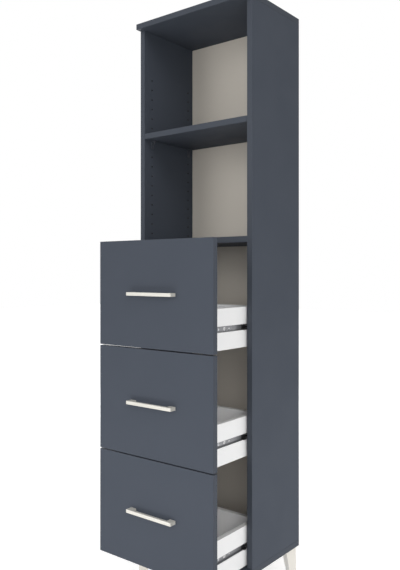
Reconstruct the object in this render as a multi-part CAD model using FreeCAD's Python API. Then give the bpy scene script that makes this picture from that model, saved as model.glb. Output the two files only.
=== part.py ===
import FreeCAD, Part
import math
import os

# Tall storage cabinet on four angle legs: two open compartments over three drawers, drawn open.
# Millimetres. X runs to the right, Y to the back and Z up. The origin is on the floor, in the
# middle of the width and in the middle of the depth that the cabinet takes with its drawers open.
# Heights of the case are measured from its underside, and depths from the side panels' front edges.

# Case
case_width = 442.0
case_height = 1701.0
side_depth = 275.0
board = 18.0
back_thickness = 3.0
back_recess = 17.0
back_groove_depth = 6.0
back_play = 0.3
edge_radius = 1.0

# Shelves
fixed_shelf_height = 971.0
loose_shelf_side_play = 0.5
loose_shelf_back_play = 2.0

# Rows of holes for shelf supports, in the inner faces of the sides
hole_pitch = 32.0
hole_radius = 2.5
hole_depth = 10.0
hole_front_setback = 37.0
hole_rear_setback = 229.0
first_hole_above_shelf = 23.5
holes_per_row = 17
support_hole_steps = 9

# Shelf supports
support_pin_play = 0.1
support_pin_end_play = 1.0
support_plate = 2.5
support_width = 12.0
support_height = 28.0
support_tongue = 12.0
support_rib = 2.4
support_pin_drop = 22.7

# Wooden dowels of the case
dowel_radius = 4.0
dowel_play = 0.1
dowel_length = 30.0
dowel_in_face = 10.0
dowel_front_setback = 45.0
dowel_rear_setback = 220.0

# Drawers
drawer_names = ("upper", "middle", "lower")
front_height = 317.0
front_gap = 3.0
front_side_gap = 1.75
front_foot_gap = 2.5
closing_gap = 3.0
drawer_opening = 164.5
box_height = 117.0
box_lift = 4.5
box_board = 15.0
box_length = 240.0
box_side_gap = 4.0
bottom_thickness = 3.0
bottom_lift = 12.0
bottom_groove_depth = 6.0
bottom_play = 0.3
drawer_dowel_radius = 3.0
drawer_dowel_length = 24.0
drawer_dowel_in_front = 10.0
drawer_dowel_in_side = 8.0
drawer_dowel_margin = 24.0

# Ball-bearing runners, let into grooves in the drawer sides
groove_depth = 8.0
groove_play = 0.2
channel_height = 17.0
channel_wall = 1.2
channel_mouth_setback = 0.3
channel_end_setback = 1.0
channel_hole_radius = 4.4
channel_hole_length = 13.0
channel_hole_setback = 70.5
channel_slot_radius = 1.6
channel_slot_length = 9.0
channel_slot_setback = 93.5
rail_height = 9.6
rail_depth = 9.0
rail_wall = 1.2
rail_setback = 2.0
rail_length = 240.0
cage_wall = 1.1
cage_gap = 0.7
cage_web_gap = 0.4
cage_flange_depth = 5.2
cage_length = 85.0
cage_reach = 14.0
cage_wing_length = 12.0
cage_wing_gap = 0.6
cage_wing_clearance = 0.5

# Handles
handle_length = 172.0
handle_height = 10.0
handle_projection = 22.0
handle_bar = 8.5
handle_foot = 20.0
handle_radius = 1.2
handle_screw_radius = 2.0
handle_screw_play = 0.2
handle_screw_bite = 8.0
handle_screw_end_play = 1.0
handle_screw_head_radius = 4.5
handle_screw_head = 2.4

# Legs, each a tapered steel angle with a plate welded in at the top and at the foot
leg_height = 150.0
leg_steel = 3.0
leg_bend = 4.0
leg_top_width = 60.0
leg_foot_width = 25.0
leg_top_inset = 7.0
leg_foot_inset = 4.0
leg_plate_corner = 14.0
leg_foot_corner = 5.0
leg_screw_offset = 17.0
leg_screw_radius = 2.25
leg_screw_play = 0.25
leg_screw_length = 14.0
leg_screw_head_radius = 4.5
leg_screw_head = 2.2
glide_radius = 9.0
glide_height = 3.0

# One overrun serves every cut, and places this close together are one place
overrun = 1.0
same_place = 0.001

# Sides of small holes, dowels and screws and of a long hole's two ends, and steps round a leg's bend
few_sides = 8
end_sides = 16
bend_steps = 4

# Places that follow from the sizes above
case_half = case_width / 2
inner_half = case_half - board
front_thickness = board
overhang = front_thickness + closing_gap
total_depth = side_depth + overhang + drawer_opening + handle_projection
front_line = total_depth / 2 - side_depth
rear_line = front_line + side_depth
case_base = leg_height
side_base = case_base + board
side_top = case_base + case_height - board
back_rear = rear_line - back_recess
back_front = back_rear - back_thickness
fixed_shelf_base = case_base + fixed_shelf_height
fixed_shelf_top = fixed_shelf_base + board
first_hole = fixed_shelf_top + first_hole_above_shelf
support_hole = first_hole + support_hole_steps * hole_pitch
loose_shelf_base = support_hole + support_pin_drop
front_width = case_width - 2 * front_side_gap
front_back = front_line - closing_gap - drawer_opening
front_face = front_back - front_thickness
box_half = inner_half - box_side_gap
box_rear = front_back + box_length
runner_depth = box_side_gap + groove_depth


def box(xs, ys, zs):
    """Block between pairs of faces, given in either order."""
    low = FreeCAD.Vector(min(xs), min(ys), min(zs))
    return Part.makeBox(max(xs) - min(xs), max(ys) - min(ys), max(zs) - min(zs), low)


def rod(radius, start, direction, length):
    """Round bar from a start point."""
    return Part.makeCylinder(radius, length, FreeCAD.Vector(*start), FreeCAD.Vector(*direction))


def prism(radius, start, direction, length):
    """Bar of a few flat sides along X, Y or Z, for a small round thing."""
    axis = FreeCAD.Vector(*direction)
    across = FreeCAD.Vector(axis.y, axis.z, axis.x)
    beside = axis.cross(across)
    corners = []
    for index in range(few_sides):
        turn = math.pi * (2 * index + 1) / few_sides
        reach = across * (radius * math.cos(turn)) + beside * (radius * math.sin(turn))
        corners.append(FreeCAD.Vector(*start) + reach)
    return Part.Face(Part.makePolygon(corners + corners[:1])).extrude(axis * length)


def polygon(points):
    """Flat face inside a closed outline."""
    corners = [FreeCAD.Vector(*point) for point in points]
    return Part.Face(Part.makePolygon(corners + corners[:1]))


def tapered(low, high):
    """Solid between two outlines of as many points, with a flat face from each side to its like."""
    faces = [polygon(low), polygon(high)]
    for index in range(len(low)):
        faces.append(polygon([low[index - 1], low[index], high[index], high[index - 1]]))
    solid = Part.Solid(Part.Shell(faces))
    if solid.Volume < 0:
        solid.reverse()
    return solid


def edges_where(shape, chosen):
    """Edges of a shape whose two ends both satisfy a test."""
    found = []
    for edge in shape.Edges:
        start, end = edge.firstVertex().Point, edge.lastVertex().Point
        if chosen(start, end):
            found.append(edge)
    return found


def save(name, *solids):
    """One STEP file per node."""
    shape = solids[0] if len(solids) == 1 else Part.makeCompound(list(solids))
    shape.exportStep("parts/" + name + ".step")


def upright_dowels(side, play=0):
    """Dowels at both ends of a side panel, which reach into the top and bottom panels."""
    x = side * (case_half - board / 2)
    dowels = []
    for setback in (dowel_front_setback, dowel_rear_setback):
        for seam, up in ((side_base, 1), (side_top, -1)):
            start = (x, front_line + setback, seam - up * dowel_in_face)
            dowels.append(prism(dowel_radius + play, start, (0, 0, up), dowel_length))
    return dowels


def shelf_dowels(side, play=0):
    """Dowels through the seam between a side panel and the end of the fixed shelf."""
    z = fixed_shelf_base + board / 2
    dowels = []
    for setback in (dowel_front_setback, dowel_rear_setback):
        start = (side * (inner_half + dowel_in_face), front_line + setback, z)
        dowels.append(prism(dowel_radius + play, start, (-side, 0, 0), dowel_length))
    return dowels


def back_panel_block(play):
    """Space of the back panel in the grooves all round, less a play at its edges."""
    half = inner_half + back_groove_depth - play
    reach = back_groove_depth - play
    return box((-half, half), (back_front, back_rear), (side_base - reach, side_top + reach))


def shelf_hole_tools(side):
    """Blind holes for shelf supports, in a front and a rear row."""
    tools = []
    for depth in (hole_front_setback, hole_rear_setback):
        for index in range(holes_per_row):
            start = (side * (inner_half + hole_depth), front_line + depth, first_hole + index * hole_pitch)
            tools.append(prism(hole_radius, start, (-side, 0, 0), hole_depth + overrun))
    return tools


def make_side_panel(side):
    """Upright side, with its rows of holes, back groove and dowel holes."""
    xs = (side * inner_half, side * case_half)
    panel = box(xs, (front_line, rear_line), (side_base, side_top))
    tools = [back_panel_block(0)]
    tools += shelf_hole_tools(side)
    tools += upright_dowels(side, dowel_play)
    tools += shelf_dowels(side, dowel_play)
    return panel.cut(tools)


def make_cap_panel(base):
    """Top or bottom panel, which runs over the ends of the sides and stands out to the drawer fronts."""
    panel = box((-case_half, case_half), (front_line - overhang, rear_line), (base, base + board))
    tools = [back_panel_block(0)]
    for side in (-1, 1):
        tools += upright_dowels(side, dowel_play)
    return panel.cut(tools)


def make_bottom_panel():
    """Bottom panel, drilled for the leg screws."""
    panel = make_cap_panel(case_base)
    holes = []
    for side in (-1, 1):
        for end in (-1, 1):
            holes += leg_screw_shanks(side, end, 0)
    return panel.cut(holes)


def make_fixed_shelf():
    """Shelf over the drawers, doweled to both sides."""
    shelf = box((-inner_half, inner_half), (front_line, back_front), (fixed_shelf_base, fixed_shelf_top))
    return shelf.cut(shelf_dowels(-1, dowel_play) + shelf_dowels(1, dowel_play))


def make_loose_shelf():
    """Shelf that lies on four supports."""
    half = inner_half - loose_shelf_side_play
    ys = (front_line, back_front - loose_shelf_back_play)
    return box((-half, half), ys, (loose_shelf_base, loose_shelf_base + board))


def make_shelf_support(side, depth):
    """Moulded bracket: a pin in the side's hole, a plate on its face and a ribbed tongue."""
    y = front_line + depth
    face = side * inner_half
    ys = (y - support_width / 2, y + support_width / 2)
    plate_face = side * (inner_half - support_plate)
    plate = box((face, plate_face), ys, (loose_shelf_base - support_height, loose_shelf_base))
    tongue_end = side * (inner_half - support_plate - support_tongue)
    tongue = box((face, tongue_end), ys, (loose_shelf_base - support_plate, loose_shelf_base))
    corners = [
        (plate_face, y - support_rib / 2, loose_shelf_base - support_plate),
        (tongue_end, y - support_rib / 2, loose_shelf_base - support_plate),
        (plate_face, y - support_rib / 2, loose_shelf_base - support_height),
    ]
    rib = polygon(corners).extrude(FreeCAD.Vector(0, support_rib, 0))
    pin_length = hole_depth - support_pin_end_play
    start = (side * (inner_half + pin_length), y, support_hole)
    pin = prism(hole_radius - support_pin_play, start, (-side, 0, 0), pin_length)
    return plate.fuse([tongue, rib, pin]).removeSplitter()


def leg_point(across, along, inset, side, end, z):
    """Point of a leg, measured in from its outer corner along X and along Y."""
    return FreeCAD.Vector(side * (case_half - inset - across), leg_corner_line(end, inset) - end * along, z)


def bend_points(radius):
    """Corner of an angle, rounded in a few steps about the middle of its bend."""
    points = []
    for step in range(bend_steps + 1):
        turn = step / bend_steps * math.pi / 2
        points.append((leg_bend - radius * math.cos(turn), leg_bend - radius * math.sin(turn)))
    return points


def angle_section(width, inset, side, end, z):
    """Outline of a leg's angle at one height, with its bend at the cabinet's corner."""
    outer = bend_points(leg_bend)
    inner = bend_points(leg_bend - leg_steel)
    tips = [(width, 0), (width, leg_steel)], [(leg_steel, width), (0, width)]
    outline = outer + tips[0] + inner[::-1] + tips[1]
    return [leg_point(across, along, inset, side, end, z) for across, along in outline]


def leg_corner_line(end, inset):
    """Place along Y of a leg's outer face, in from the bottom panel's front or rear edge."""
    return rear_line - inset if end > 0 else front_line - overhang + inset


def leg_plate(width, corner, inset, side, end, base):
    """Flat plate in the corner of the angle, with its free corner cut off."""
    near = leg_steel / 2
    far = width - leg_steel
    outline = [(near, near), (far, near), (far, far - corner), (far - corner, far), (near, far)]
    points = [leg_point(across, along, inset, side, end, base) for across, along in outline]
    return polygon(points).extrude(FreeCAD.Vector(0, 0, leg_steel))


def leg_screw_places(side, end):
    """Centres of the three screws through a leg's top plate."""
    near = leg_screw_offset
    far = leg_top_width - leg_screw_offset
    places = []
    for across, along in ((near, near), (far, near), (near, far)):
        point = leg_point(across, along, leg_top_inset, side, end, 0)
        places.append((point.x, point.y))
    return places


def leg_screw_shanks(side, end, play):
    """Shanks of one leg's screws, from under its plate up into the bottom panel."""
    low = case_base - leg_steel
    places = leg_screw_places(side, end)
    return [prism(leg_screw_radius + play, (x, y, low), (0, 0, 1), leg_screw_length) for x, y in places]


def make_leg_screws(side, end):
    """Screws of one leg, with their heads under its plate."""
    screws = []
    low = case_base - leg_steel - leg_screw_head
    for shank, (x, y) in zip(leg_screw_shanks(side, end, 0), leg_screw_places(side, end)):
        head = prism(leg_screw_head_radius, (x, y, low), (0, 0, 1), leg_screw_head)
        screws.append(shank.fuse(head).removeSplitter())
    return screws


def make_leg(side, end):
    """Tapered steel angle with a top plate that is screwed on, and a foot plate for the glide."""
    foot = angle_section(leg_foot_width, leg_foot_inset, side, end, glide_height)
    top = angle_section(leg_top_width, leg_top_inset, side, end, case_base)
    angle = tapered(foot, top)
    plate_base = case_base - leg_steel
    top_plate = leg_plate(leg_top_width, leg_plate_corner, leg_top_inset, side, end, plate_base)
    foot_plate = leg_plate(leg_foot_width, leg_foot_corner, leg_foot_inset, side, end, glide_height)
    leg = angle.fuse([top_plate, foot_plate]).removeSplitter()
    return leg.cut(leg_screw_shanks(side, end, leg_screw_play))


def make_glide(side, end):
    """Round plastic foot under a leg."""
    middle = leg_foot_width / 2
    return rod(glide_radius, leg_point(middle, middle, leg_foot_inset, side, end, 0), (0, 0, 1), glide_height)


def channel(side, mouth, web, half_height, wall, ys):
    """C-shaped strip along Y, open at its mouth; mouth and web are distances from the case side."""
    inside = half_height - wall
    closed = web - wall if web > mouth else web + wall
    outline = [
        (mouth, half_height), (web, half_height), (web, -half_height), (mouth, -half_height),
        (mouth, -inside), (closed, -inside), (closed, inside), (mouth, inside),
    ]
    points = [(side * (inner_half - across), ys[0], up) for across, up in outline]
    return polygon(points).extrude(FreeCAD.Vector(0, ys[1] - ys[0], 0))


def at_height(shape, z):
    """Shape lifted to a height."""
    return shape.translated(FreeCAD.Vector(0, 0, z))


def make_case_rail(side, z):
    """Rail screwed to the case side, open towards the drawer."""
    start = front_line + rail_setback
    rail = channel(side, rail_depth, 0, rail_height / 2, rail_wall, (start, start + rail_length))
    return at_height(rail, z)


def make_drawer_channel(side, z):
    """Channel in the drawer side's groove, with a wide and a narrow long hole through its web."""
    ys = (front_back + channel_end_setback, box_rear - channel_end_setback)
    mouth = box_side_gap + channel_mouth_setback
    strip = channel(side, mouth, runner_depth, channel_height / 2, channel_wall, ys)
    x = side * (inner_half - runner_depth)
    reach = channel_wall + overrun
    hole_y = front_back + channel_hole_setback
    slot_y = front_back + channel_slot_setback
    hole = long_hole(channel_hole_radius, channel_hole_length, (x, hole_y, 0), side * reach)
    slot = long_hole(channel_slot_radius, channel_slot_length, (x, slot_y, 0), side * reach)
    return at_height(strip.cut([hole, slot]), z)


def long_hole(radius, length, middle, reach):
    """Tool for a hole along X that is long in Y, with round ends."""
    straight = length / 2 - radius
    corners = []
    for end in (-1, 1):
        for step in range(end_sides // 2 + 1):
            turn = math.pi * 2 * step / end_sides
            along = end * (straight + radius * math.sin(turn))
            corners.append((middle[0], middle[1] + along, middle[2] - end * radius * math.cos(turn)))
    return polygon(corners).extrude(FreeCAD.Vector(reach, 0, 0))


def make_ball_cage(side, z):
    """Plastic cage between rail and channel, with two wings at its front end."""
    start = front_line - cage_reach
    low = rail_height / 2 + cage_gap
    web = runner_depth - channel_wall - cage_web_gap
    body = channel(side, cage_flange_depth, web, low + cage_wall, cage_wall, (start, start + cage_length))
    wing_xs = (side * (inner_half - cage_wing_gap), side * (inner_half - web))
    outer_xs = (wing_xs[0], side * (inner_half - box_side_gap + cage_wing_clearance))
    wing_ys = (start, start + cage_wing_length)
    wings = []
    for turn in (-1, 1):
        wings.append(box(wing_xs, wing_ys, (turn * low, turn * (low + cage_wall))))
        wings.append(box(outer_xs, wing_ys, (turn * low, turn * channel_height / 2)))
    return at_height(body.fuse(wings).removeSplitter(), z)


def make_front(base):
    """Drawer front, with rounded front edges and two holes for the handle's screws."""
    half = front_width / 2
    panel = box((-half, half), (front_face, front_back), (base, base + front_height))
    panel = panel.makeFillet(edge_radius, edges_where(panel, on_front_face))
    tools = [drawer_bottom_block(base + box_lift, 0)]
    tools += front_dowels(base + box_lift, dowel_play)
    for x in handle_screw_places():
        start = (x, front_face - overrun, base + front_height / 2)
        tools.append(prism(handle_screw_radius + handle_screw_play, start, (0, 1, 0), board + 2 * overrun))
    return panel.cut(tools)


def on_front_face(start, end):
    """Whether an edge lies in the face of the drawer front."""
    return max(abs(start.y - front_face), abs(end.y - front_face)) < same_place


def handle_screw_places():
    """Middles of the handle's two feet."""
    reach = (handle_length - handle_foot) / 2
    return (-reach, reach)


def upright_at(y):
    """Test for an upright edge at a depth."""
    def chosen(start, end):
        return abs(start.y - y) + abs(end.y - y) < same_place and abs(start.x - end.x) < same_place

    return chosen


def make_handle(z):
    """Square-cornered bow handle: an outline seen from above, as thick as the bar is high."""
    half = handle_length / 2
    foot = half - handle_foot
    bar_front = front_face - handle_projection
    bar_back = bar_front + handle_bar
    outline = [
        (-half, front_face), (-half, bar_front), (half, bar_front), (half, front_face),
        (foot, front_face), (foot, bar_back), (-foot, bar_back), (-foot, front_face),
    ]
    low = z - handle_height / 2
    face = polygon([(x, y, low) for x, y in outline])
    bow = face.extrude(FreeCAD.Vector(0, 0, handle_height))
    bow = bow.makeFillet(handle_radius, edges_where(bow, upright_at(bar_front)))
    depth = handle_screw_bite + handle_screw_end_play
    radius = handle_screw_radius + handle_screw_play
    holes = [prism(radius, (x, front_face - depth, z), (0, 1, 0), depth) for x in handle_screw_places()]
    return bow.cut(holes)


def make_handle_screws(z):
    """Two machine screws from inside the drawer front into the handle."""
    screws = []
    for x in handle_screw_places():
        tip = (x, front_face - handle_screw_bite, z)
        shank = prism(handle_screw_radius, tip, (0, 1, 0), handle_screw_bite + board)
        head = prism(handle_screw_head_radius, (x, front_back, z), (0, 1, 0), handle_screw_head)
        screws.append(shank.fuse(head).removeSplitter())
    return screws


def drawer_bottom_block(base, play):
    """Space of the drawer bottom in its grooves all round, less a play at its edges."""
    reach = bottom_groove_depth - play
    half = box_half - box_board + reach
    low = base + bottom_lift
    ys = (front_back - reach, box_rear - box_board + reach)
    return box((-half, half), ys, (low, low + bottom_thickness))


def drawer_dowel_heights(base):
    """Heights of the dowels, one above and one below the runner."""
    return (base + drawer_dowel_margin, base + box_height - drawer_dowel_margin)


def front_dowels(base, play=0):
    """Dowels from the front into the ends of the box sides."""
    dowels = []
    for x in (-box_half + box_board / 2, box_half - box_board / 2):
        for z in drawer_dowel_heights(base):
            start = (x, front_back - drawer_dowel_in_front, z)
            dowels.append(prism(drawer_dowel_radius + play, start, (0, 1, 0), drawer_dowel_length))
    return dowels


def rear_dowels(side, base, play=0):
    """Dowels from a box side into the end of the box's rear."""
    x = side * (box_half - box_board + drawer_dowel_in_side)
    dowels = []
    for z in drawer_dowel_heights(base):
        start = (x, box_rear - box_board / 2, z)
        dowels.append(prism(drawer_dowel_radius + play, start, (-side, 0, 0), drawer_dowel_length))
    return dowels


def make_box_side(side, base):
    """Side of the drawer box, grooved outside for its runner and inside for the bottom."""
    xs = (side * (box_half - box_board), side * box_half)
    plank = box(xs, (front_back, box_rear), (base, base + box_height))
    middle = base + box_height / 2
    half = channel_height / 2 + groove_play
    groove_xs = (side * (box_half - groove_depth), side * (box_half + overrun))
    groove = box(groove_xs, (front_back - overrun, box_rear + overrun), (middle - half, middle + half))
    dowels = front_dowels(base, dowel_play) + rear_dowels(side, base, dowel_play)
    return plank.cut([groove, drawer_bottom_block(base, 0)] + dowels)


def make_box_rear(base):
    """Rear of the drawer box, between its sides."""
    half = box_half - box_board
    plank = box((-half, half), (box_rear - box_board, box_rear), (base, base + box_height))
    dowels = rear_dowels(-1, base, dowel_play) + rear_dowels(1, base, dowel_play)
    return plank.cut([drawer_bottom_block(base, 0)] + dowels)


def build_case():
    """Case, shelves, fittings and legs."""
    os.makedirs("parts", exist_ok=True)
    save("left_side_panel", make_side_panel(-1))
    save("right_side_panel", make_side_panel(1))
    save("top_panel", make_cap_panel(side_top))
    save("bottom_panel", make_bottom_panel())
    save("fixed_shelf", make_fixed_shelf())
    save("adjustable_shelf", make_loose_shelf())
    save("back_panel", back_panel_block(back_play))
    dowels = []
    supports = []
    screws = []
    glides = []
    for side, side_word in ((-1, "left"), (1, "right")):
        dowels += upright_dowels(side) + shelf_dowels(side)
        supports += [make_shelf_support(side, depth) for depth in (hole_front_setback, hole_rear_setback)]
        for end, end_word in ((-1, "front"), (1, "rear")):
            save(end_word + "_" + side_word + "_leg", make_leg(side, end))
            screws += make_leg_screws(side, end)
            glides.append(make_glide(side, end))
    save("case_dowels", *dowels)
    save("shelf_supports", *supports)
    save("leg_screws", *screws)
    save("leg_glides", *glides)


def build_drawer(name, base):
    """One drawer with its runners."""
    box_base = base + box_lift
    runner = box_base + box_height / 2
    handle_middle = base + front_height / 2
    save(name + "_drawer_front", make_front(base))
    save(name + "_drawer_rear", make_box_rear(box_base))
    save(name + "_drawer_bottom", drawer_bottom_block(box_base, bottom_play))
    dowels = front_dowels(box_base) + rear_dowels(-1, box_base) + rear_dowels(1, box_base)
    save(name + "_drawer_dowels", *dowels)
    save(name + "_handle", make_handle(handle_middle))
    save(name + "_handle_screws", *make_handle_screws(handle_middle))
    for side, word in ((-1, "left"), (1, "right")):
        save(name + "_drawer_" + word + "_side", make_box_side(side, box_base))
        save(name + "_" + word + "_drawer_channel", make_drawer_channel(side, runner))
        save(name + "_" + word + "_ball_cage", make_ball_cage(side, runner))
        save(name + "_" + word + "_case_rail", make_case_rail(side, runner))


def main():
    build_case()
    lowest = case_base + board + front_foot_gap
    for level, name in enumerate(reversed(drawer_names)):
        build_drawer(name, lowest + level * (front_height + front_gap))


main()
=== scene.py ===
"""Looks of a tall, narrow storage cabinet: two open compartments over three drawers, drawn open.

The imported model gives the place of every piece, in metres: X to the right, Y to the back, Z up.
Each class below dresses one sub-assembly of the cabinet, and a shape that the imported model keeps
plain is made here in full, in the same place. Smaller sizes of such a shape stand in its class.
"""

import logging
import math
from collections.abc import Callable, Iterator, Sequence
from dataclasses import dataclass, replace
from enum import Enum, IntEnum
from functools import cache

import bmesh
import bpy
from mathutils import Matrix, Vector


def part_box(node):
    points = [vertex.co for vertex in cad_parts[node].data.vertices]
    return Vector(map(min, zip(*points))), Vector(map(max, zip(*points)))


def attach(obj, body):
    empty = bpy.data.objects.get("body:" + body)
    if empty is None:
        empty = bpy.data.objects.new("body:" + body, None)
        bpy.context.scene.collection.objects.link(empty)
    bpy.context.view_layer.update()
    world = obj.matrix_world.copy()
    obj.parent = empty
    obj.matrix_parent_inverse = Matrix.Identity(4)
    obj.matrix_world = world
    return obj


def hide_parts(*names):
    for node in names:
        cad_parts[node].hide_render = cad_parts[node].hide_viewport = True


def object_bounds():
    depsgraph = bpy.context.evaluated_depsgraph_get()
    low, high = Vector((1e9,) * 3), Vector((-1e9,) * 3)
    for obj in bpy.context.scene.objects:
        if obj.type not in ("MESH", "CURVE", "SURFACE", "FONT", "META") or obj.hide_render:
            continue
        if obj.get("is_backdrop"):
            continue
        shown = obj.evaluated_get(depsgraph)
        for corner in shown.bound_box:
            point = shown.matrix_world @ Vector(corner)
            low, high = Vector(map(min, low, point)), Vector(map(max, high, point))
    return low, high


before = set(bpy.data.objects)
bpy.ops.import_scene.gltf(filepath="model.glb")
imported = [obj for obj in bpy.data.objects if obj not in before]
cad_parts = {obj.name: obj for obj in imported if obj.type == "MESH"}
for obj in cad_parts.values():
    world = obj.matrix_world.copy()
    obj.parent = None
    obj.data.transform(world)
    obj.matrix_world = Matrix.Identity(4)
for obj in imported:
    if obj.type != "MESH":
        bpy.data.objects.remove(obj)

log = logging.getLogger("cabinet")

Colour = tuple[int, int, int]
Pair = tuple[float, float]
Box = tuple[Vector, Vector]
Edge = bmesh.types.BMEdge
Facet = bmesh.types.BMFace
Socket = bpy.types.NodeSocket

# Words in the names of the nodes.
SIDES = ("left", "right")
DRAWERS = ("upper", "middle", "lower")

# Numbers of the axes.
X, Y, Z = range(3)

# Points nearer than this are one point, and a cutting tool stands out of its piece by the overrun.
TOUCH = 1e-6
OVERRUN = 0.001

# Steps round large and small turned shapes, round a ball and from its pole to pole.
ROUND_STEPS = 24
SMALL_STEPS = 16
BALL_STEPS = (12, 8)

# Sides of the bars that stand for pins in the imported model.
BAR_SIDES = 8

# An edge is smooth where its faces meet at less than this angle.
SMOOTH_BELOW = math.radians(38)

# A face looks along an axis if more than this share of its normal lies on it.
LOOKS_ALONG = 0.5

# Part of its range in which nearly all of a noise lies.
NOISE_MIDDLE = (0.3, 0.7)

# Numbers of the mix node's colour sockets, which share their names with other sockets.
MIX_FIRST, MIX_SECOND, MIX_RESULT = 6, 7, 2

# Highest level of a screen colour, and the curve from its levels to light.
WHITE_LEVEL = 255
CURVE_KNEE, CURVE_SLOPE, CURVE_LIFT, CURVE_POWER = 0.04045, 12.92, 0.055, 2.4

PURE_WHITE = (WHITE_LEVEL, WHITE_LEVEL, WHITE_LEVEL)
MIRRORED = Matrix.Scale(-1, 4, Vector((1, 0, 0)))


class Grain(Enum):
    """Pattern that breaks up a finish: its texture, how far it is drawn out, and its octaves."""

    PEARL = ("ShaderNodeTexNoise", (1.0, 1.0, 1.0), 3.0)
    PEEL = ("ShaderNodeTexNoise", (1.0, 1.0, 1.0), 0.5)
    CHIP = ("ShaderNodeTexVoronoi", (1.0, 1.0, 1.0), 1.0)
    SPANGLE = ("ShaderNodeTexVoronoi", (1.0, 0.7, 1.0), 0.0)
    FIBRE = ("ShaderNodeTexNoise", (0.35, 1.0, 1.0), 6.0)
    BRUSHED = ("ShaderNodeTexNoise", (0.03, 1.0, 1.0), 2.0)
    ROLLED = ("ShaderNodeTexNoise", (1.0, 0.03, 1.0), 2.0)
    TIMBER = ("ShaderNodeTexNoise", (1.0, 1.0, 0.12), 4.0)


class Sheet:
    """The node sheet of a material or of the surroundings."""

    def __init__(self, owner: bpy.types.Material | bpy.types.World) -> None:
        """Start an empty sheet.

        Args:
            owner: The material or surroundings that it belongs to.
        """
        self.owner = owner
        self.owner.use_nodes = True
        self.tree = self.owner.node_tree
        self.tree.nodes.clear()

    def add(self, kind: str, inputs: dict[str | int, object], **settings: object) -> bpy.types.Node:
        """Add a node to the sheet.

        Args:
            kind: The node's type.
            inputs: A value or another node's socket for each input, by name or number.
            settings: Properties of the node itself.

        Returns:
            The new node.
        """
        node = self.tree.nodes.new(kind)
        for name, value in settings.items():
            setattr(node, name, value)
        for name, value in inputs.items():
            if isinstance(value, Socket):
                self.tree.links.new(value, node.inputs[name])
            else:
                node.inputs[name].default_value = value
        return node

    def mix(self, factor: object, first: object, second: object) -> Socket:
        """Blend two colours, from the first at a factor of 0 to the second at 1."""
        inputs = {0: factor, MIX_FIRST: first, MIX_SECOND: second}
        return self.add("ShaderNodeMix", inputs, data_type="RGBA").outputs[MIX_RESULT]

    def spread(self, value: Socket, low: float, high: float, span: Pair = NOISE_MIDDLE) -> Socket:
        """Stretch a part of a value's range over another range.

        Args:
            value: The value.
            low: Result at the start of the part, and before it.
            high: Result at the end of the part, and past it.
            span: The part, which is the middle of a noise unless another is given.

        Returns:
            The stretched value.
        """
        start, end = span
        inputs = {"Value": value, "From Min": start, "From Max": end, "To Min": low, "To Max": high}
        return self.add("ShaderNodeMapRange", inputs).outputs["Result"]

    def seen(self) -> Socket:
        """Tell what is looked at from the light that falls on things.

        Returns:
            One for what is looked at straight, in a mirror or through glass, and none for other light.
        """
        path = self.add("ShaderNodeLightPath", {}).outputs
        mirrored = {0: path["Is Glossy Ray"], 1: path["Is Transmission Ray"]}
        both = self.add("ShaderNodeMath", mirrored, operation="MAXIMUM").outputs[0]
        straight = {0: path["Is Camera Ray"], 1: both}
        return self.add("ShaderNodeMath", straight, operation="MAXIMUM").outputs[0]


def linear(colour: Colour) -> tuple[float, ...]:
    """Turn a written colour into light.

    Args:
        colour: Red, green and blue as a screen shows them, from 0 to 255.

    Returns:
        The colour as a shader takes it, fully solid.
    """
    light = []
    for channel in colour:
        share = channel / WHITE_LEVEL
        if share <= CURVE_KNEE:
            light.append(share / CURVE_SLOPE)
        else:
            light.append(((share + CURVE_LIFT) / (1 + CURVE_LIFT)) ** CURVE_POWER)
    return (*light, 1.0)


@dataclass(frozen=True)
class Patches:
    """Broad uneven patches that every finish has under its grain.

    Attributes:
        size: Size of a patch, in metres.
        octaves: Octaves of their noise.
        warp: How far the noise is bent.
        share: Share of the fleck colour where a patch is strongest.
        strength: Strength of their bumps.
        height: Height of their bumps, in metres.
    """

    size: float = 0.11
    octaves: float = 3.0
    warp: float = 0.4
    share: float = 0.35
    strength: float = 0.12
    height: float = 0.0006


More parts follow.
